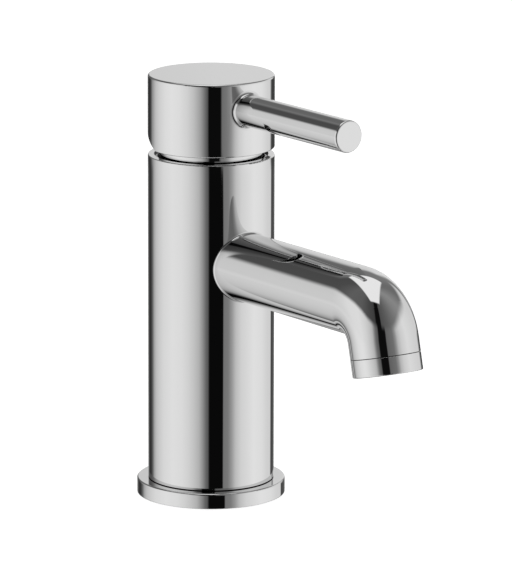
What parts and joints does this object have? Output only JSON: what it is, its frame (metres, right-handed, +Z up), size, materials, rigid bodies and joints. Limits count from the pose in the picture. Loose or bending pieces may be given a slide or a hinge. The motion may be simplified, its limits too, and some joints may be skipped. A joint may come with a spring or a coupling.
{
  "type": "basin mixer faucet",
  "caption": "Deck-mounted single-lever basin mixer: round chromed column, tubular spout with a turned-down end, and a cylindrical head with a pin lever that lifts and turns.",
  "frame": {"origin": "centre of the column's underside, in the plane of the basin's deck", "axes": "+Z up the column, -Y along the spout and the lever towards the user, +X to the user's right"},
  "size_m": [0.053, 0.1424, 0.1522],
  "materials": {
    "chrome": "polished chrome plate over brass",
    "rubber": "satin moulded nitrile rubber",
    "ceramic": "lapped alumina",
    "aerator_plastic": "moulded acetal",
    "cartridge_plastic": "moulded engineering plastic",
    "brass": "turned, unplated",
    "steel": "ground stainless steel"
  },
  "bodies": {
    "root": {"base_ring": "chrome", "deck_seal": "rubber", "column": "chrome", "spout": "chrome", "aerator_housing": "chrome", "aerator_cage": "aerator_plastic", "aerator_diffuser": "aerator_plastic", "aerator_screen": "aerator_plastic", "aerator_washer": "rubber", "cartridge_base": "cartridge_plastic", "cartridge_o_ring": "rubber", "port_seals": "rubber", "fixed_disc": "ceramic", "cartridge_housing": "cartridge_plastic", "retaining_nut": "brass", "cover_ring": "chrome", "cover_o_ring": "rubber"},
    "turret": {"swivel_carrier": "cartridge_plastic", "pivot_pin": "steel", "stop_ring": "cartridge_plastic"},
    "handle": {"stem": "steel", "handle_head": "chrome", "lever_rod": "chrome", "grub_screw": "steel"},
    "disc": {"moving_disc": "ceramic", "disc_carrier": "cartridge_plastic"}
  },
  "joints": [
    {"name": "temperature_turn", "type": "hinge", "parent": "root", "child": "turret", "pos_m": [0, 0, 0.118], "axis": [0, 0, 1], "range_deg": [-45, 45]},
    {"name": "handle_lift", "type": "hinge", "parent": "turret", "child": "handle", "pos_m": [0, 0, 0.118], "axis": [-1, 0, 0], "range_deg": [0, 22]},
    {"name": "disc_slide", "type": "slide", "parent": "turret", "child": "disc", "axis": [0, -1, 0], "range_m": [0, 0.0032]}
  ],
  "couplings": [
    {"joint": "disc_slide", "follows": "handle_lift", "m_per_rad": 0.0083}
  ]
}
